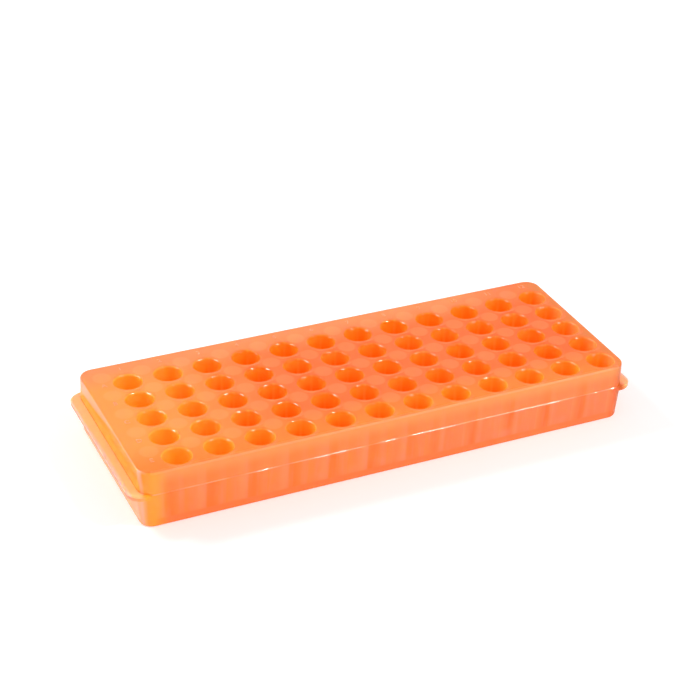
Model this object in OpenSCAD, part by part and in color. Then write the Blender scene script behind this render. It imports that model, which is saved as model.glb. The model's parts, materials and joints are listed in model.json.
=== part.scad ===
// Reversible tube rack, moulded in one piece.
// The top takes large tubes and the underside takes small ones: the two grids
// interleave, so each small well rises between four large ones.
// Origin: centre of the footprint, on the surface the rack stands on.

/* [Large wells, in the top] */
// Number of wells along the rack, on each side
columns = 12; // [3:1:16]
// Number of wells across the rack, on each side
rows = 5; // [2:1:8]
// Spacing of the wells along the rack
pitch_x = 17; // [16:0.5:24]
// Spacing of the wells across the rack
pitch_y = 14.2; // [13.6:0.2:22]
// Bore of a large well
large_d = 11.2; // [10:0.1:11.4]
// Plastic left under a large well
large_floor = 3.2; // [1.5:0.1:8]

/* [Small wells, in the underside] */
// Bore of a small well
small_d = 8; // [5:0.1:8.8]
// Plastic left between a small well and the top face
small_floor = 1.8; // [1:0.1:8]

/* [Wells, both kinds] */
// Rounding of a well's mouth
mouth_r = 1.1; // [0.3:0.05:1.2]
// Rounding between a well's wall and its floor
well_foot_r = 0.4; // [0.2:0.05:1.5]

/* [Block] */
// Height of the rack
height = 25.4; // [20:0.2:40]
// Height of the mould's parting line
parting_h = 15.3; // [10:0.1:17]
// From the end walls to the nearest well's centre
end_margin = 8.8; // [8.2:0.1:20]
// From the long walls to the nearest well's centre
side_margin = 8.05; // [8:0.05:20]
// Radius of the upright corners at the parting line
corner_r = 6.2; // [4.5:0.1:8]
// Rounding of the top and bottom edges
edge_r = 0.8; // [0.4:0.1:1.2]
// Step by which the lower half stands out at the parting line
parting_step = 0.2; // [0.05:0.05:0.5]
// Draft of the walls above the parting line, in degrees
upper_draft = 1.5; // [0:0.1:3]
// Draft of the walls below the parting line, in degrees
lower_draft = 3.5; // [0:0.1:5]

/* [Grip flanges] */
// Reach of the flange beyond each end wall
flange_reach = 4.1; // [2:0.1:12]
// Thickness of the flange
flange_t = 1.9; // [1.2:0.1:4]
// Radius of the flange's outer corners
flange_corner_r = 6.4; // [3:0.1:12]
// Rounding of the flange's upper edge
flange_edge_r = 0.5; // [0.1:0.1:1]

/* [Hidden] */
$fn = 64;
hull_facets = 32;       // circle facets of the shapes that are hulled
well_edge_facets = 12;  // circle facets of a well's rounded mouth and foot
sliver = 0.01;          // thickness of a flat layer inside a hull
overrun = 1;            // how far a well's cutter stands out of its mouth

// The large wells stand a quarter pitch towards the front right,
// and the small ones a quarter pitch towards the back left.
grid_shift = [pitch_x / 4, -pitch_y / 4];
block_l = (columns - 1) * pitch_x + 2 * grid_shift[0] + 2 * end_margin;
block_w = (rows - 1) * pitch_y - 2 * grid_shift[1] + 2 * side_margin;
upper_corner_r = corner_r - parting_step;
top_corner_r = upper_corner_r - (height - parting_h) * tan(upper_draft);
base_corner_r = corner_r - parting_h * tan(lower_draft);

module rack() {
    color("darkorange")
        difference() {
            union() {
                lower_half();
                upper_half();
                flange_plate();
            }
            large_wells();
            small_wells();
        }
}

// Below the parting line: the walls close in towards the base.
module lower_half() {
    hull()
        at_corners(block_l, block_w, corner_r) {
            rounded_disc(base_corner_r + edge_r * tan(lower_draft), edge_r, edge_r);
            translate([0, 0, parting_h - sliver])
                cylinder(r = corner_r, h = sliver, $fn = hull_facets);
        }
}

// Above the parting line: the walls close in towards the top.
module upper_half() {
    hull()
        at_corners(block_l, block_w, corner_r) {
            translate([0, 0, parting_h - sliver])
                cylinder(r = upper_corner_r, h = sliver, $fn = hull_facets);
            rounded_disc(top_corner_r + edge_r * tan(upper_draft), edge_r, height - edge_r);
        }
}

// One plate right through the block makes the lip at each end. Its long edges
// have the draft of the lower half, so they are flush with the long walls.
module flange_plate() {
    hull()
        at_corners(block_l + 2 * flange_reach, block_w, flange_corner_r) {
            translate([0, 0, parting_h - flange_t])
                cylinder(r = flange_corner_r - flange_t * tan(lower_draft), h = sliver,
                         $fn = hull_facets);
            translate([0, 0, parting_h - flange_edge_r])
                cylinder(r = flange_corner_r, h = sliver, $fn = hull_facets);
            translate([0, 0, parting_h - sliver])
                cylinder(r = flange_corner_r - flange_edge_r, h = sliver, $fn = hull_facets);
        }
}

module large_wells() {
    at_grid(grid_shift)
        translate([0, 0, large_floor])
            well(large_d / 2, height - large_floor);
}

module small_wells() {
    at_grid(-grid_shift)
        translate([0, 0, height - small_floor])
            mirror([0, 0, 1])
                well(small_d / 2, height - small_floor);
}

// The hollow of one well, from its floor at z = 0 up to its mouth.
module well(r, depth) {
    rotate_extrude() {
        difference() {
            square([r, depth + overrun]);
            translate([r - well_foot_r, 0])
                fillet_corner(well_foot_r);
        }
        translate([r, depth])
            mirror([0, 1])
                mouth_flare();
    }
}

// What a rounding of radius r leaves of a square corner, the corner at [r, 0].
module fillet_corner(r) {
    difference() {
        square(r);
        translate([0, r])
            circle(r, $fn = well_edge_facets);
    }
}

// The hollow side of a mouth's rounded edge, and the cutter's overrun above it.
module mouth_flare() {
    difference() {
        square(mouth_r);
        translate([mouth_r, mouth_r])
            circle(mouth_r, $fn = well_edge_facets);
    }
    translate([0, -overrun])
        square([mouth_r, overrun]);
}

// A disc whose rim is a half circle of radius edge.
module rounded_disc(r, edge, z) {
    translate([0, 0, z])
        rotate_extrude($fn = hull_facets)
            translate([r - edge, 0])
                intersection() {
                    circle(edge, $fn = hull_facets);
                    translate([0, -edge])
                        square([edge, 2 * edge]);
                }
}

module at_corners(l, w, r) {
    for (x = [-1, 1] * (l / 2 - r), y = [-1, 1] * (w / 2 - r))
        translate([x, y, 0])
            children();
}

module at_grid(shift) {
    for (c = [0 : columns - 1], r = [0 : rows - 1])
        translate([(c - (columns - 1) / 2) * pitch_x + shift[0],
                   (r - (rows - 1) / 2) * pitch_y + shift[1], 0])
            children();
}

rack();
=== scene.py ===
import json
import math
import bpy
import bmesh
from mathutils import Matrix, Vector


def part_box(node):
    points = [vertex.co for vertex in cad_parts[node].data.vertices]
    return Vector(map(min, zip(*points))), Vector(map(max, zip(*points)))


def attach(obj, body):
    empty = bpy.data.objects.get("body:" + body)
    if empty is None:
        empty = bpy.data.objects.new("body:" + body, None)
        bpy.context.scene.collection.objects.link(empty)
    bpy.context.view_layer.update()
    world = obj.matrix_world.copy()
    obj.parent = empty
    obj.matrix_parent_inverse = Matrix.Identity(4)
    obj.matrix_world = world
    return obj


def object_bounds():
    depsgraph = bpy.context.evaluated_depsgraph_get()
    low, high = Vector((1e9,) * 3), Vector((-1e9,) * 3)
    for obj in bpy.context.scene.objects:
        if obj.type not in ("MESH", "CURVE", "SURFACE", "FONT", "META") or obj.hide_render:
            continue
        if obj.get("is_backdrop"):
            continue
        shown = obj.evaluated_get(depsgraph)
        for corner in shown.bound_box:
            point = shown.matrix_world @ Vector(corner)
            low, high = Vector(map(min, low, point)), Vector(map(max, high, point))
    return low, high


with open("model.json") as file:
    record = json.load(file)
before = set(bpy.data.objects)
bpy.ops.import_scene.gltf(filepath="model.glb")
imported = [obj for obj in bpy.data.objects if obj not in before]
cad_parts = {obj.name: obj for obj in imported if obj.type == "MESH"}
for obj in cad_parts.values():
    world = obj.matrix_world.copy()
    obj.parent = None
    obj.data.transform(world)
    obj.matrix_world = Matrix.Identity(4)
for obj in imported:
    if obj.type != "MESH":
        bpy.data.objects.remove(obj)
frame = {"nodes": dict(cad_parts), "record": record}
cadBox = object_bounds()
rack = frame["nodes"]["rack"]
mm = 0.001
print("frame loaded")


class Value:
    # A number or colour that varies over a surface: arithmetic on it adds Math nodes.
    def __init__(self, finish, socket):
        self.finish = finish
        self.socket = socket

    def maths(self, operation, first, second=0.0):
        return self.finish.node("ShaderNodeMath", {"operation": operation}, {0: first, 1: second})

    def __add__(self, other):
        return self.maths("ADD", self, other)

    def __radd__(self, other):
        return self.maths("ADD", other, self)

    def __sub__(self, other):
        return self.maths("SUBTRACT", self, other)

    def __rsub__(self, other):
        return self.maths("SUBTRACT", other, self)

    def __mul__(self, other):
        return self.maths("MULTIPLY", self, other)

    def __rmul__(self, other):
        return self.maths("MULTIPLY", other, self)

    def __truediv__(self, other):
        return self.maths("DIVIDE", self, other)

    def __pow__(self, other):
        return self.maths("POWER", self, other)

    def __abs__(self):
        return self.maths("ABSOLUTE", self)

    def __round__(self, digits=0):
        return self.maths("ROUND", self)

    def __mod__(self, other):
        return self.maths("FLOORED_MODULO", self, other)

    def sign(self):
        return self.maths("SIGN", self)

    def least(self, other):
        return self.maths("MINIMUM", self, other)

    def most(self, other):
        return self.maths("MAXIMUM", self, other)


class Finish:
    # The nodes of one material, or of the world.
    def __init__(self, owner, shader="Principled BSDF"):
        owner.use_nodes = True
        self.tree = owner.node_tree
        self.shader = self.tree.nodes[shader]

    def node(self, kind, settings, values, output=0):
        made = self.tree.nodes.new(kind)
        for key, value in settings.items():
            if key == "stops":
                fillRamp(made.color_ramp, value)
            else:
                setattr(made, key, value)
        for key, value in values.items():
            self.feed(made.inputs[key], value)
        return Value(self, made.outputs[output])

    def feed(self, socket, value):
        if isinstance(value, Value):
            self.tree.links.new(value.socket, socket)
        else:
            socket.default_value = value

    def surface(self, **values):
        for key, value in values.items():
            self.feed(self.shader.inputs[key.replace("_", " ")], value)

    def split(self, value):
        return [self.node("ShaderNodeSeparateXYZ", {}, {0: value}, axis) for axis in range(3)]

    def place(self):
        # where a point is on the object, in metres
        return self.node("ShaderNodeTexCoord", {}, {}, "Object")

    def facing(self):
        # which way the surface faces
        return self.node("ShaderNodeNewGeometry", {}, {}, "Normal")

    def fade(self, value, start, end):
        # 0 up to start, 1 from end on, smooth between them; start may be the larger
        return self.node("ShaderNodeMapRange", {"interpolation_type": "SMOOTHSTEP"},
                         {"Value": value, "From Min": start, "From Max": end})

    def blend(self, factor, under, over):
        return self.node("ShaderNodeMix", {"data_type": "RGBA"}, {0: factor, 6: under, 7: over}, 2)

    def noise(self, place, scale, detail):
        return self.node("ShaderNodeTexNoise", {}, {"Vector": place, "Scale": scale, "Detail": detail})

    def join(self, x, y, z):
        return self.node("ShaderNodeCombineXYZ", {}, {0: x, 1: y, 2: z})

    def stretched(self, place, scale):
        return self.node("ShaderNodeMapping", {}, {"Vector": place, "Scale": scale})

    def zone(self, under, along, settings, share=1.0):
        # lays a colour over another from one place on; settings are where it starts
        # and where it is full along an axis in mm, how much of it, and the colour
        start, full, amount, colour = settings
        return self.blend(self.fade(along, start, full) * (amount * share), under, colour)

    def unit(self, vector):
        return self.node("ShaderNodeVectorMath", {"operation": "NORMALIZE"}, {0: vector})

    def mixedNormal(self, factor, under, over):
        return self.node("ShaderNodeMix", {"data_type": "VECTOR"}, {0: factor, 4: under, 5: over}, 1)


def fillRamp(ramp, stops):
    while len(ramp.elements) < len(stops):
        ramp.elements.new(1.0)
    for element, (position, colour) in zip(ramp.elements, stops):
        element.position = position
        element.color = colour


def srgb(red, green, blue):
    # a colour as it is seen, 0 to 255, turned into the linear one that nodes take
    def linear(value):
        value = value / 255
        return value / 12.92 if value <= 0.04045 else ((value + 0.055) / 1.055) ** 2.4
    return (linear(red), linear(green), linear(blue), 1.0)


cameraSettings = {
    "target": (13.36 * mm, 33.0 * mm, 12.7 * mm),
    "distance": 774.04 * mm,
    "azimuth": -25.98,
    "elevation": 30.81,
    "roll": 2.14,
    "lens": 92.56,
    "sensorWidth": 36,
    "nearest": 50 * mm,   # what is closer than this isn't drawn
}


def makeCamera(settings):
    azimuth = math.radians(settings["azimuth"])
    elevation = math.radians(settings["elevation"])
    back = Vector((math.sin(azimuth) * math.cos(elevation),
                   -math.cos(azimuth) * math.cos(elevation),
                   math.sin(elevation)))
    camera = bpy.data.objects.new("camera", bpy.data.cameras.new("camera"))
    bpy.context.scene.collection.objects.link(camera)
    turn = (-back).to_track_quat("-Z", "Y").to_matrix()
    turn = turn @ Matrix.Rotation(math.radians(settings["roll"]), 3, "Z")
    place = Vector(settings["target"]) + back * settings["distance"]
    camera.matrix_world = Matrix.Translation(place) @ turn.to_4x4()
    camera.data.lens = settings["lens"]
    camera.data.sensor_width = settings["sensorWidth"]
    camera.data.clip_start = settings["nearest"]
    bpy.context.scene.camera = camera


makeCamera(cameraSettings)
print("camera placed")

wellCounts = (12, 5)   # columns along X, rows along Y
pastFoot = 0.6         # from the end of a bore down to just past the well's floor, mm


def wellGrid(name):
    # where one kind of well stands, in mm, worked out from the frame's bores
    bores = [mount for mount in frame["record"]["mounts"] if mount["name"].startswith(name)]
    middles = [sum(mount["pos_m"][axis] for mount in bores) / len(bores) / mm for axis in range(2)]
    spans = [max(mount["pos_m"][axis] for mount in bores) / mm
             - min(mount["pos_m"][axis] for mount in bores) / mm for axis in range(2)]
    pitch = [span / (count - 1) for span, count in zip(spans, wellCounts)]
    first = [middle - span / 2 for middle, span in zip(middles, spans)]
    # a bore runs from the round of the well's mouth to the round of its foot
    length = bores[0]["dims"]["length_mm"]
    height = bores[0]["pos_m"][2] / mm
    mouth = min(height - length / 2 - rackLow[2], rackHigh[2] - height - length / 2)
    radius = bores[0]["dims"]["r_mm"]
    return {"first": first, "pitch": pitch, "radius": radius, "mouth": mouth,
            "rim": radius + mouth, "depth": mouth + length + pastFoot}


rackLow, rackHigh = [[side / mm for side in corner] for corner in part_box("rack")]
largeWells = wellGrid("large_well")
smallWells = wellGrid("small_well")

blockShape = {
    # sizes of the moulding that its finish follows, in mm
    "partingHeight": 15.3,
    "flangeReach": 4.1,
    "cornerRadius": 6.2,
}


def nearestWell(x, y, grid):
    # offsets in mm from the axis of the nearest well of a grid, and which well it is
    offsets = []
    steps = []
    for along, first, pitch, count in zip((x, y), grid["first"], grid["pitch"], wellCounts):
        step = round((along - first) / pitch).most(0).least(count - 1)
        offsets.append(along - first - step * pitch)
        steps.append(step)
    return offsets, steps


def distance(offsets, shift=(0, 0)):
    # never quite 0, since offsets are divided by it
    along, across = [offset - moved for offset, moved in zip(offsets, shift)]
    return ((along * along + across * across) ** 0.5).most(0.1)


def aroundBlock(shape, x, y):
    # how far a point lies beyond the centres of the upright corners, and which way
    # the outside faces there
    cornerX = rackHigh[0] - shape["flangeReach"] - shape["cornerRadius"]
    cornerY = rackHigh[1] - shape["cornerRadius"]
    beyondX = (abs(x) - cornerX).most(0)
    beyondY = (abs(y) - cornerY).most(0)
    reach = distance((beyondX, beyondY))
    return reach, beyondX / reach, beyondY / reach


topLook = {
    "skin": srgb(255, 113, 56),
    # painted light and shade, laid over the plastic's own colour towards the ends, front and back
    "left": (-20, -100, 1.0, srgb(255, 160, 78)),
    "far": (40, 90, 1.0, srgb(248, 109, 48)),
    "front": (-18, -38, 1.0, srgb(255, 136, 51)),
    "back": (18, 38, 1.0, srgb(246, 148, 94)),
    "backWeakens": (50, 100, 0.5),   # over this stretch of X, by this much
    "right": (90, 106, 0.9, srgb(222, 133, 69)),
    "disc": srgb(246, 196, 134),
    "discAmount": 0.15,
    "discRadius": 3.7,
    "discSoftness": 0.6,
    "discShift": (-0.5, -0.9),
    "ring": srgb(255, 146, 92),
    "ringAmount": 0.5,
    "ringInner": (-0.7, 0.2),        # mm out from the rim of a large well
    "ringOuter": (1.4, 0.7),
    "ringSide": (-0.5, -1.0),        # only on a well's near side
}


def topColourWithPaintedLight(finish, look, x, y):
    # painted light and shade: redder between the wells, yellower where a wall is near
    skin = finish.zone(look["skin"], x, look["left"])
    skin = finish.zone(skin, x, look["far"])
    skin = finish.zone(skin, y, look["front"])
    start, full, less = look["backWeakens"]
    skin = finish.zone(skin, y, look["back"], 1.0 - finish.fade(x, start, full) * less)
    skin = finish.zone(skin, x, look["right"])
    # painted light: the floor of each small well shows through as a paler disc, set a little towards the
    # front and left
    offsets, steps = nearestWell(x, y, smallWells)
    inner = look["discRadius"] - look["discSoftness"]
    outer = look["discRadius"] + look["discSoftness"]
    disc = finish.fade(distance(offsets, look["discShift"]), outer, inner)
    skin = finish.blend(disc * look["discAmount"], skin, look["disc"])
    offsets, steps = nearestWell(x, y, largeWells)
    gap = distance(offsets)
    pastRim = gap - largeWells["rim"]
    # painted highlight: a pale ring just outside the mouth of each large well, on its near side
    ring = finish.fade(pastRim, *look["ringInner"]) * finish.fade(pastRim, *look["ringOuter"])
    ring = ring * finish.fade(offsets[1] / gap, *look["ringSide"])
    return finish.blend(ring * look["ringAmount"], skin, look["ring"])


wellLook = {
    # painted shade: paler at the mouth, darker and redder deeper down, by depth
    "depths": [(0.0, srgb(255, 124, 44)), (0.03, srgb(255, 127, 43)), (0.06, srgb(255, 157, 64)),
               (0.16, srgb(255, 140, 48)), (0.25, srgb(255, 115, 34)), (0.29, srgb(252, 90, 20)),
               (1.0, srgb(240, 66, 4))],   # by share of the rack's height
    "sideFrom": 0.5,                # of the radius, where the colours of the sides start
    "right": srgb(255, 104, 28),
    "rightAmount": 0.5,
    "left": srgb(255, 158, 60),
    "leftAmount": 0.2,
    "streak": srgb(255, 173, 83),
    "streakPlace": (0.34, 0.16),    # at least so far to the right, and how much more by chance
    "streakStrength": (0.15, 0.4),
    "streakWidth": 0.17,
    "streakSide": (0, 2),           # mm behind the axis
    "front": (-22, -38, 0.6, srgb(255, 208, 90)),
    "back": (18, 34, 0.5, srgb(255, 140, 4)),
    "leftEnd": (-35, -90, 0.85, srgb(255, 188, 80)),
    "rightEnd": (100.5, 103.4, 0.9, srgb(255, 172, 108)),
    "starts": (0.06, 0.46),         # mm below the face that the wells open in
    "softness": 0.1,
}


def wellPaintedShade(finish, look, depth, offsets, steps):
    # painted shade: redder and darker with depth, and painted light and shade different on the two sides
    across, along = offsets
    share = depth / (rackHigh[2] - rackLow[2])
    colour = finish.node("ShaderNodeValToRGB", {"stops": look["depths"]}, {0: share})
    side = across / distance(offsets)
    right = finish.fade(side, look["sideFrom"], 1.0)
    left = finish.fade(side, -look["sideFrom"], -1.0)
    colour = finish.blend(right * look["rightAmount"], colour, look["right"])
    colour = finish.blend(left * look["leftAmount"], colour, look["left"])
    # painted reflection: one pale upright streak in each well, at its own place and strength
    chance = finish.node("ShaderNodeTexWhiteNoise", {}, {0: finish.join(steps[0], steps[1], 0.0)})
    place, morePlace = look["streakPlace"]
    least, more = look["streakStrength"]
    streak = finish.fade(abs(side - chance * morePlace - place), look["streakWidth"], 0.0)
    streak = streak * finish.fade(along, *look["streakSide"])
    return finish.blend(streak * (chance * more + least), colour, look["streak"])


def wellsPaintedLight(finish, look, x, y, colour):
    # painted light and shade: the large wells differ with their place in the block, paler near the front
    # wall and the ends, more saturated near the back
    colour = finish.zone(colour, y, look["front"])
    colour = finish.zone(colour, y, look["back"])
    colour = finish.zone(colour, x, look["leftEnd"])
    return finish.zone(colour, x, look["rightEnd"])


def insideWells(finish, look, depth, gap, wells):
    # 1 on the walls and floors of one kind of well, 0 elsewhere; depth is below their mouths
    soft = look["softness"]
    below = finish.fade(depth, *look["starts"]) * finish.fade(depth, wells["depth"] + soft, wells["depth"])
    return below * finish.fade(gap, wells["rim"] + soft, wells["rim"])


def mouthNormal(finish, under, depth, offsets, gap, wells, up):
    # the round of the mouths of one kind of well, without the facets of its mesh
    mouth = wells["mouth"]
    rim = wells["rim"]
    inward = (gap - rim).least(0) / gap
    across, along = offsets
    smooth = finish.unit(finish.join(inward * across, inward * along, (mouth - depth) * up))
    onMouth = finish.fade(depth, mouth, mouth - 0.02) * finish.fade(gap, rim + 0.02, rim)
    return finish.mixedNormal(onMouth, under, smooth)


wallLook = {
    # painted light and shade over one pitch, from the left end's kind to the right end's over a stretch of
    # X
    "leftRibs": [(0.0, srgb(255, 144, 66)), (0.24, srgb(255, 144, 80)), (0.37, srgb(255, 152, 92)),
                 (0.49, srgb(255, 151, 98)), (0.545, srgb(255, 134, 54)), (0.59, srgb(255, 130, 51)),
                 (0.67, srgb(255, 129, 50)), (0.78, srgb(255, 137, 62)), (0.9, srgb(255, 144, 79))],
    "rightRibs": [(0.0, srgb(255, 149, 91)), (0.2, srgb(255, 130, 68)), (0.27, srgb(255, 121, 57)),
                  (0.35, srgb(255, 128, 59)), (0.40, srgb(255, 141, 84)), (0.46, srgb(255, 146, 94)),
                  (0.55, srgb(255, 138, 85)), (0.72, srgb(255, 141, 87))],
    "ribsChange": (-20, 45),
    "window": srgb(255, 158, 122),
    "streakScale": (420, 420, 45),
    "streakRange": (0.45, 0.8),
    "streakAmount": 0.25,
    "patchScale": (110, 110, 60),
    "patchRange": (0.45, 0.7),
    "patchHeights": (9.0, 5.0),
    "patchAmount": 0.45,
    "baseStrip": srgb(255, 135, 72),
    "baseStripHeight": 3.6,
    "baseStripSoftness": 0.6,
    "upper": srgb(255, 141, 63),
    "upperShare": 0.55,
    "upperStarts": (-0.3, 0.1),      # mm above the parting line
    "top": srgb(255, 162, 86),
    "topStarts": 18,                 # height in mm
    "topFull": 1,                    # mm below the top face
    "left": (-94, -103, 1.0, srgb(255, 177, 50)),
    "right": (99, 105, 1.0, srgb(206, 92, 20)),
}


def windowPaintedLight(finish, look, place, z, ribs):
    # paler upright streaks, and pale patches of painted light low in some of the windows
    streaks = finish.noise(finish.stretched(place, look["streakScale"]), 1.0, 2.0)
    streaks = finish.fade(streaks, *look["streakRange"])
    ribs = finish.blend(streaks * look["streakAmount"], ribs, look["window"])
    patches = finish.noise(finish.stretched(place, look["patchScale"]), 1.0, 1.0)
    low = finish.fade(z, *look["patchHeights"]) * finish.fade(patches, *look["patchRange"])
    return finish.blend(low * look["patchAmount"], ribs, look["window"])


def wallPaintedLightAndShade(finish, look, place, x, y, z):
    # painted light and shade: the plastic between two wells shows as a dark rib, and a well behind the
    # wall as a paler window
    onFront = finish.fade(y, 1, -1)   # large wells stand along the front wall, small ones along the back
    lead = onFront * (largeWells["first"][0] - smallWells["first"][0])
    phase = (x - smallWells["first"][0] - lead) / largeWells["pitch"][0] % 1
    leftRibs = finish.node("ShaderNodeValToRGB", {"stops": look["leftRibs"]}, {0: phase})
    rightRibs = finish.node("ShaderNodeValToRGB", {"stops": look["rightRibs"]}, {0: phase})
    ribs = finish.blend(finish.fade(x, *look["ribsChange"]), leftRibs, rightRibs)
    ribs = windowPaintedLight(finish, look, place, z, ribs)
    # along the foot, below the wells, one even tone without the painted windows
    strip = look["baseStripHeight"]
    soft = look["baseStripSoftness"]
    lower = finish.blend(finish.fade(z, strip + soft, strip - soft), ribs, look["baseStrip"])
    # painted light: above the parting line the ribs are muted, and the wall grows paler towards the top
    # face
    upper = finish.blend(look["upperShare"], ribs, look["upper"])
    nearTop = finish.fade(z, look["topStarts"], rackHigh[2] - look["topFull"])
    upper = finish.blend(nearTop, upper, look["top"])
    aboveParting = z - blockShape["partingHeight"]
    wall = finish.blend(finish.fade(aboveParting, *look["upperStarts"]), lower, upper)
    # painted light and shade: yellower towards the left end, darker towards the right end
    wall = finish.zone(wall, x, look["left"])
    return finish.zone(wall, x, look["right"])


underLook = {
    "skin": wallLook["baseStrip"],
    "disc": topLook["disc"],
    "discAmount": topLook["discAmount"],
    "discEdge": (0.5, -0.7),         # mm out from the wall of a large well
}


def underPaintedLight(finish, look, x, y):
    # painted light: the floors of the large wells show through the underside as paler discs
    offsets, steps = nearestWell(x, y, largeWells)
    disc = finish.fade(distance(offsets) - largeWells["radius"], *look["discEdge"])
    return finish.blend(disc * look["discAmount"], look["skin"], look["disc"])


endLook = {
    "foot": srgb(255, 179, 65),
    "upper": srgb(255, 161, 0),
    "upperStarts": (18.0, 21.0),     # heights in mm
    "line": srgb(255, 138, 30),
    "lineAmount": 0.7,
    "lineEdge": (1.1, 0.6),          # mm above the parting line
    "edge": srgb(255, 200, 180),
    "edgeAmount": 0.55,
    "edgeWidth": (0.8, 5.0),         # mm at the front, and how much wider at the back
    "edgeWidens": (-15, 38),
    "edgeSoftness": 1.0,
    "bend": ((0.78, 0.94), (1.06, 0.96), (1.0, 0.98)),   # how far the bend has turned
    "bendLags": 0.12,                # the band lies so much further round at its foot
    "bendHeights": (24, 16),
    "lower": srgb(255, 196, 150),
    "lowerEnds": (-1.0, 0.0),        # mm above the parting line
    "right": (0, 50, 0.75, srgb(200, 86, 14)),
}


def endPaintedLightAndShade(finish, look, x, y, z, outX):
    aboveParting = z - blockShape["partingHeight"]
    # painted light and shade on the end walls: one tone at the foot and another higher up, with a darker
    # painted line of shade just above the flange
    upper = finish.blend(finish.fade(z, *look["upperStarts"]), look["foot"], look["upper"])
    line = finish.fade(aboveParting, *look["lineEdge"])
    upper = finish.blend(line * look["lineAmount"], upper, look["line"])
    # painted highlight: paler along the top, in a band that widens towards the back
    width, wider = look["edgeWidth"]
    soft = look["edgeSoftness"]
    paleFrom = rackHigh[2] - width - finish.fade(y, *look["edgeWidens"]) * wider
    pale = finish.fade(z - paleFrom, -soft, soft)
    upper = finish.blend(pale * look["edgeAmount"], upper, look["edge"])
    # painted light: paler below the parting line
    colour = finish.blend(finish.fade(aboveParting, *look["lowerEnds"]), look["lower"], upper)
    # painted highlight: a pale band down the bend, further round it lower down
    bend = finish.fade(z, *look["bendHeights"]) * look["bendLags"] + outX
    rises, falls, ends = look["bend"]
    band = finish.fade(bend, *rises) * finish.fade(bend, *falls) * finish.fade(outX, *ends)
    colour = finish.blend(band * look["edgeAmount"], colour, look["edge"])
    # painted shade: darker towards the right end
    return finish.zone(colour, x, look["right"])


flangeLook = {
    "top": srgb(255, 204, 147),
    "strip": srgb(255, 214, 200),
    "stripAmount": 0.8,
    "stripWidth": (0.4, 0.9),        # mm at the back, and how much wider at the front
    "stripWidens": (30, -10),
    "stripEdge": (-0.5, 0.3),
    "front": srgb(255, 176, 100),
    "edge": srgb(255, 168, 134),
    "edgeFaces": (0.75, 0.97),       # how far the outside has turned towards the end
    "pastBlock": (-2.5, 0.5),        # mm beyond the block's end
    "underside": (13.0, 13.3),       # heights in mm
    "topFace": (0.2, 0.1),           # mm above the parting line
    "aroundCorner": (5.2, 5.6),      # mm from the centre of an upright corner
}


def onFlange(finish, look, x, z, reach):
    # 1 on the two flanges, 0 elsewhere
    pastBlock = abs(x) - (rackHigh[0] - blockShape["flangeReach"])
    aboveParting = z - blockShape["partingHeight"]
    inside = finish.fade(pastBlock, *look["pastBlock"]) * finish.fade(z, *look["underside"])
    inside = inside * finish.fade(aboveParting, *look["topFace"])
    return inside * finish.fade(reach, *look["aroundCorner"])


def flangePaintedLight(finish, look, x, y, facesUp, outX):
    # painted highlight: the outer strip of the top face shows as pale as the edge, wider towards the front
    width, wider = look["stripWidth"]
    outer = rackHigh[0] - width - finish.fade(y, *look["stripWidens"]) * wider
    strip = finish.fade(abs(x) - outer, *look["stripEdge"])
    # painted light: the flange's pale top, and a pinkish painted reflection on the side where it turns to
    # the end
    top = finish.blend(strip * look["stripAmount"], look["top"], look["strip"])
    side = finish.blend(finish.fade(outX, *look["edgeFaces"]), look["front"], look["edge"])
    return finish.blend(facesUp, side, top)


seamLook = {
    # a painted highlight along the seam
    "colour": srgb(255, 196, 162),
    "thickness": 0.26,
    "ends": (0.4, 0.1),              # how far the outside has turned towards the end
    "breakScale": (70, 70, 0),
    "breaks": (0.40, 0.56),
    "strength": (0.25, 0.45),        # at least, and how much more where it isn't broken
    "wornScale": (210, 210, 0),
    "worn": (0.45, 0.56),
    "fleckScale": (900, 900, 0),
    "flecks": (0.38, 0.52),
    "tilt": 0.43,
    "tiltVaries": 2.0,
    "tiltMiddle": 0.55,
    "polish": 0.12,
}


def onSeam(finish, look, z, outX):
    # 1 along the step at the parting line, on the long walls
    thickness = look["thickness"]
    seam = finish.fade(abs(z - blockShape["partingHeight"]), thickness, thickness / 2)
    return seam * finish.fade(outX, *look["ends"])


def seamPaintedHighlight(finish, look, place, seam, colour):
    # painted highlight: a pale broken line along the seam
    broken = finish.noise(finish.stretched(place, look["breakScale"]), 1.0, 1.0)
    least, more = look["strength"]
    line = seam * (finish.fade(broken, *look["breaks"]) * more + least)
    return finish.blend(line, colour, look["colour"])


def seamGlints(finish, look, place, seam, normal):
    # the step's worn edge leans back, so that it glints here and there
    worn = finish.noise(finish.stretched(place, look["wornScale"]), 1.0, 2.0)
    flecks = finish.noise(finish.stretched(place, look["fleckScale"]), 1.0, 1.0)
    glints = seam * finish.fade(worn, *look["worn"]) * finish.fade(flecks, *look["flecks"])
    tilt = glints * ((worn - look["tiltMiddle"]) * look["tiltVaries"] + look["tilt"])
    leaning = finish.node("ShaderNodeVectorMath", {"operation": "ADD"},
                          {0: normal, 1: finish.join(0.0, 0.0, tilt)})
    return glints, finish.unit(leaning)


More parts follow.
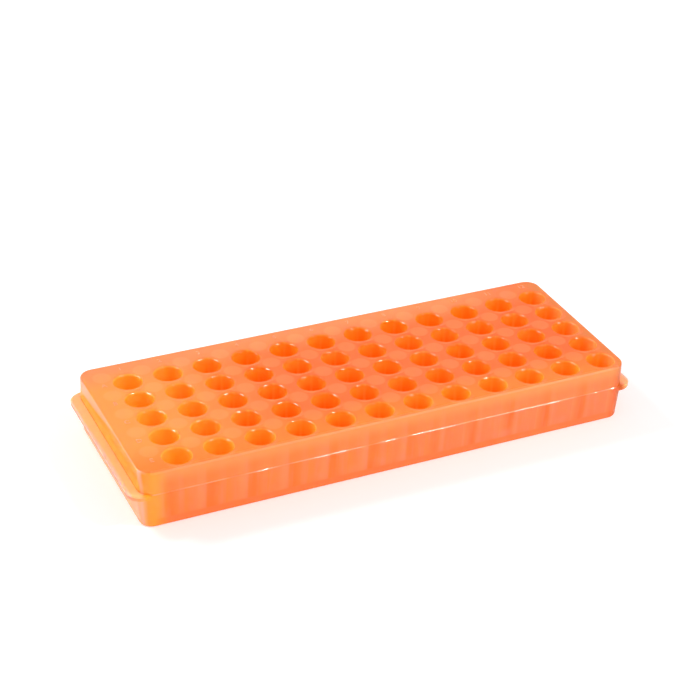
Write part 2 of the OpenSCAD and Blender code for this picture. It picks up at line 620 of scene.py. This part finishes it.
plasticLook = {
    # painted light: emission standing in for light carried through the translucent plastic, weaker towards
    # the right end and stronger in the wells
    "glow": (0.30, 0.03, 0.0, 1.0),
    "rightGlow": (60, 102, 1.0, (0.155, 0.02, 0.0, 1.0)),
    "wellGlow": (0.32, 0.06, 0.0015, 1.0),
    "translucency": 1.0,
    "reach": 2.0 * mm,
    "reachByColour": (1.0, 0.35, 0.12),
    "refraction": 1.49,
    "roughness": 0.22,
    "mouthRoughness": 0.08,
    "mouthDepths": (1.9, 1.5),       # mm below the face, where the glossier mouth ends
    "mouthSoftness": 0.2,
    "edgeRoughness": 0.45,
    "edgeReach": (-1.6, -1.2),       # mm beyond the corners' radius
    "edgeHeights": (-1.3, -1.0),     # mm above the top face
    "edgeFaces": (0.4, 0.2),         # how far the outside has turned towards the end
    "endFaces": (0.5, 0.88),
    "upAndDown": (0.3, 0.8),         # how far a face has turned to count as top or underside
    "topHeights": (-2, -1),          # mm above the top face
    "underHeights": (1.2, 0.8),      # mm above the underside
    "bendInner": (-2.0, -1.8),       # mm beyond the corners' radius
    "bendOuter": (0.5, 0.3),
    "waviness": 0.25,
    "waveScale": 60,
    "waveDepth": 0.4 * mm,
}


def blockNormal(finish, look, x, y, facing, facingZ, reach, outX, outY):
    # the upright corners, without the facets of their mesh
    level = (1.0 - facingZ * facingZ).most(0) ** 0.5
    smooth = finish.join(x.sign() * outX * level, y.sign() * outY * level, facingZ)
    beyond = reach - blockShape["cornerRadius"]
    outside = finish.fade(beyond, *look["bendInner"]) * finish.fade(beyond, *look["bendOuter"])
    return finish.mixedNormal(outside, facing, smooth)


def makePlastic(look):
    material = bpy.data.materials.new("orangePlastic")
    finish = Finish(material)
    place = finish.place()
    x, y, z = [part / mm for part in finish.split(place)]
    facing = finish.facing()
    facingZ = finish.split(facing)[2]
    start, full = look["upAndDown"]
    facesUp = finish.fade(facingZ, start, full)
    facesDown = finish.fade(facingZ, -start, -full)
    aboveTop = z - rackHigh[2]
    reach, outX, outY = aroundBlock(blockShape, x, y)

    # the colours of the faces, most of them painted light and shade over the plastic's own colour, one
    # laid over another
    colour = wallPaintedLightAndShade(finish, wallLook, place, x, y, z)
    end = endPaintedLightAndShade(finish, endLook, x, y, z, outX)
    colour = finish.blend(finish.fade(outX, *look["endFaces"]), colour, end)
    seam = onSeam(finish, seamLook, z, outX)
    colour = seamPaintedHighlight(finish, seamLook, place, seam, colour)
    onTop = facesUp * finish.fade(aboveTop, *look["topHeights"])
    colour = finish.blend(onTop, colour, topColourWithPaintedLight(finish, topLook, x, y))
    onUnderside = facesDown * finish.fade(z, *look["underHeights"])
    colour = finish.blend(onUnderside, colour, underPaintedLight(finish, underLook, x, y))
    flange = flangePaintedLight(finish, flangeLook, x, y, facesUp, outX)
    colour = finish.blend(onFlange(finish, flangeLook, x, z, reach), colour, flange)

    normal = blockNormal(finish, look, x, y, facing, facingZ, reach, outX, outY)
    glints, normal = seamGlints(finish, seamLook, place, seam, normal)
    atEdge = finish.fade(reach - blockShape["cornerRadius"], *look["edgeReach"])
    atEdge = atEdge * finish.fade(aboveTop, *look["edgeHeights"]) * finish.fade(outX, *look["edgeFaces"])
    gloss = 1.0
    inWells = 0.0
    for wells, depth, up in ((largeWells, rackHigh[2] - z, 1), (smallWells, z - rackLow[2], -1)):
        offsets, steps = nearestWell(x, y, wells)
        gap = distance(offsets)
        inside = insideWells(finish, wellLook, depth, gap, wells)
        inner = wellPaintedShade(finish, wellLook, depth, offsets, steps)
        if wells is largeWells:
            inner = wellsPaintedLight(finish, wellLook, x, y, inner)
        colour = finish.blend(inside, colour, inner)
        inWells = inside + inWells
        normal = mouthNormal(finish, normal, depth, offsets, gap, wells, up)
        atMouth = finish.fade(gap, wells["rim"] + look["mouthSoftness"], wells["rim"])
        atMouth = atMouth * finish.fade(depth, *look["mouthDepths"])
        gloss = (1.0 - atMouth) * gloss
    # painted light: the emission, less towards the right end and more in the wells
    glow = finish.zone(look["glow"], x, look["rightGlow"])
    glow = finish.blend(inWells, glow, look["wellGlow"])
    roughness = gloss * (look["roughness"] - look["mouthRoughness"]) + look["mouthRoughness"]
    roughness = roughness + atEdge * gloss * look["edgeRoughness"] - glints * seamLook["polish"]
    waves = finish.noise(place, look["waveScale"], 1.0) * gloss
    waved = finish.node("ShaderNodeBump", {}, {"Strength": look["waviness"], "Distance": look["waveDepth"],
                                               "Height": waves, "Normal": normal})
    finish.surface(Base_Color=colour, Roughness=roughness, Normal=waved, IOR=look["refraction"],
                   Subsurface_Weight=look["translucency"],
                   Subsurface_Radius=look["reachByColour"],
                   Subsurface_Scale=look["reach"],
                   Emission_Color=glow, Emission_Strength=1.0)
    return material


plastic = makePlastic(plasticLook)
for slot in rack.material_slots:
    slot.material = plastic
print("plastic made")

indexMarks = {
    "colour": srgb(255, 160, 108),
    "paleColour": srgb(255, 184, 142),
    "wornScale": 700,
    "worn": (0.4, 0.65),
    "reach": 0.3 * mm,
    "letters": "ABCDE",      # one for each row, from the back
    "size": 3.4,
    "curveSteps": 3,
    "standsOut": 0.15,
    "sunk": 0.1,
    "mergeWithin": 0.001,
    "letterOffset": -10.0,   # from the first large well of a row
    "numberOffset": 10.25,   # from the back large well of a column
}


def addText(shape, words, x, y, look):
    # solid lettering on the top face, centred on x, y in mm
    text = bpy.data.curves.new("text", "FONT")
    text.body = words
    text.size = look["size"] * mm
    text.align_x = "CENTER"
    text.align_y = "CENTER"
    text.resolution_u = look["curveSteps"]
    text.extrude = (look["standsOut"] + look["sunk"]) / 2 * mm
    holder = bpy.data.objects.new("text", text)
    bpy.context.scene.collection.objects.link(holder)
    evaluated = holder.evaluated_get(bpy.context.evaluated_depsgraph_get())
    mesh = bpy.data.meshes.new_from_object(evaluated)
    middle = rackHigh[2] + (look["standsOut"] - look["sunk"]) / 2
    mesh.transform(Matrix.Translation(Vector((x, y, middle)) * mm))
    shape.from_mesh(mesh)
    bpy.data.objects.remove(holder)
    bpy.data.curves.remove(text)
    bpy.data.meshes.remove(mesh)


def makeMarkPlastic(look):
    # painted highlight: the raised strokes are painted paler than the face they stand on, more so in
    # patches at random, with the plastic's painted glow
    material = bpy.data.materials.new("palePlastic")
    finish = Finish(material)
    worn = finish.fade(finish.noise(finish.place(), look["wornScale"], 2.0), *look["worn"])
    finish.surface(Base_Color=finish.blend(worn, look["colour"], look["paleColour"]),
                   Roughness=plasticLook["roughness"], IOR=plasticLook["refraction"],
                   Subsurface_Weight=plasticLook["translucency"],
                   Subsurface_Radius=plasticLook["reachByColour"],
                   Subsurface_Scale=look["reach"],
                   Emission_Color=plasticLook["glow"], Emission_Strength=1.0)
    return material


def makeIndexMarks(look):
    shape = bmesh.new()
    columns, rows = wellCounts
    firstX, firstY = largeWells["first"]
    pitchX, pitchY = largeWells["pitch"]
    backY = firstY + (rows - 1) * pitchY
    for column in range(columns):
        addText(shape, str(column + 1), firstX + column * pitchX, backY + look["numberOffset"], look)
    for row in range(rows):
        addText(shape, look["letters"][row], firstX + look["letterOffset"], backY - row * pitchY, look)
    bmesh.ops.remove_doubles(shape, verts=shape.verts, dist=look["mergeWithin"] * mm)
    bmesh.ops.recalc_face_normals(shape, faces=shape.faces)
    mesh = bpy.data.meshes.new("index_marks")
    shape.to_mesh(mesh)
    shape.free()
    marks = bpy.data.objects.new("index_marks", mesh)
    bpy.context.scene.collection.objects.link(marks)
    mesh.materials.append(makeMarkPlastic(look))
    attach(marks, "root")


makeIndexMarks(indexMarks)
print("index marks made")

studio = {
    "worldStrength": 0.5,
    "floor": {"halfSize": 3.0, "colour": (0.92, 0.92, 0.92, 1), "roughness": 0.9, "glow": 0.25},
    "lamps": {
        "right": {"from": (0.50, -0.42, 0.75), "distance": 1.1, "size": (0.10, 0.10), "power": 4.0},
        "left": {"from": (-0.50, 0.50, 0.70), "distance": 1.1, "size": (0.36, 0.10), "power": 5.0},
    },
    "mirrored": {
        "frontGlint": {"from": (0.47, -0.87, 0.16), "distance": 1.1, "size": (0.50, 0.32), "power": 26.0},
        "leftGlint": {"from": (-0.93, 0.17, 0.27), "distance": 1.1, "size": (0.85, 0.30), "power": 18.0,
                      "lean": 36},
    },
}


def makeFloor(settings):
    mesh = bpy.data.meshes.new("floor")
    shape = bmesh.new()
    bmesh.ops.create_grid(shape, x_segments=1, y_segments=1, size=settings["halfSize"])
    shape.to_mesh(mesh)
    shape.free()
    floor = bpy.data.objects.new("floor", mesh)
    bpy.context.scene.collection.objects.link(floor)
    material = bpy.data.materials.new("paleFloor")
    finish = Finish(material)
    seen = finish.node("ShaderNodeLightPath", {}, {}, "Is Camera Ray")
    finish.surface(Base_Color=settings["colour"], Roughness=settings["roughness"],
                   Emission_Color=(1, 1, 1, 1), Emission_Strength=seen * settings["glow"])
    mesh.materials.append(material)
    floor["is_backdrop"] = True


def makeLamp(name, settings):
    lamp = bpy.data.lights.new(name, "AREA")
    lamp.shape = "RECTANGLE"
    lamp.size, lamp.size_y = settings["size"]
    lamp.energy = settings["power"]
    holder = bpy.data.objects.new(name, lamp)
    bpy.context.scene.collection.objects.link(holder)
    away = Vector(settings["from"]).normalized()
    turn = (-away).to_track_quat("-Z", "Y").to_matrix().to_4x4()
    turn = turn @ Matrix.Rotation(math.radians(settings.get("lean", 0)), 4, "Z")
    holder.matrix_world = Matrix.Translation(away * settings["distance"]) @ turn
    return holder


def makeWorld(strength):
    world = bpy.data.worlds.new("studio")
    bpy.context.scene.world = world
    finish = Finish(world, "Background")
    # white where it is seen, and a plain grey light on the object
    seen = finish.node("ShaderNodeLightPath", {}, {}, "Is Camera Ray")
    finish.surface(Color=(1, 1, 1, 1), Strength=seen * (1.0 - strength) + strength)


makeFloor(studio["floor"])
for lampName, lampSettings in studio["lamps"].items():
    # soft light, without its own reflections
    makeLamp(lampName, lampSettings).visible_glossy = False
for lampName, lampSettings in studio["mirrored"].items():
    # only seen in reflections, as glints
    makeLamp(lampName, lampSettings).visible_diffuse = False
makeWorld(studio["worldStrength"])
bpy.context.scene.view_settings.view_transform = "Standard"
print("studio lit")

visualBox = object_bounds()
({"cad": [list(corner) for corner in cadBox],
           "visual": [list(corner) for corner in visualBox]})
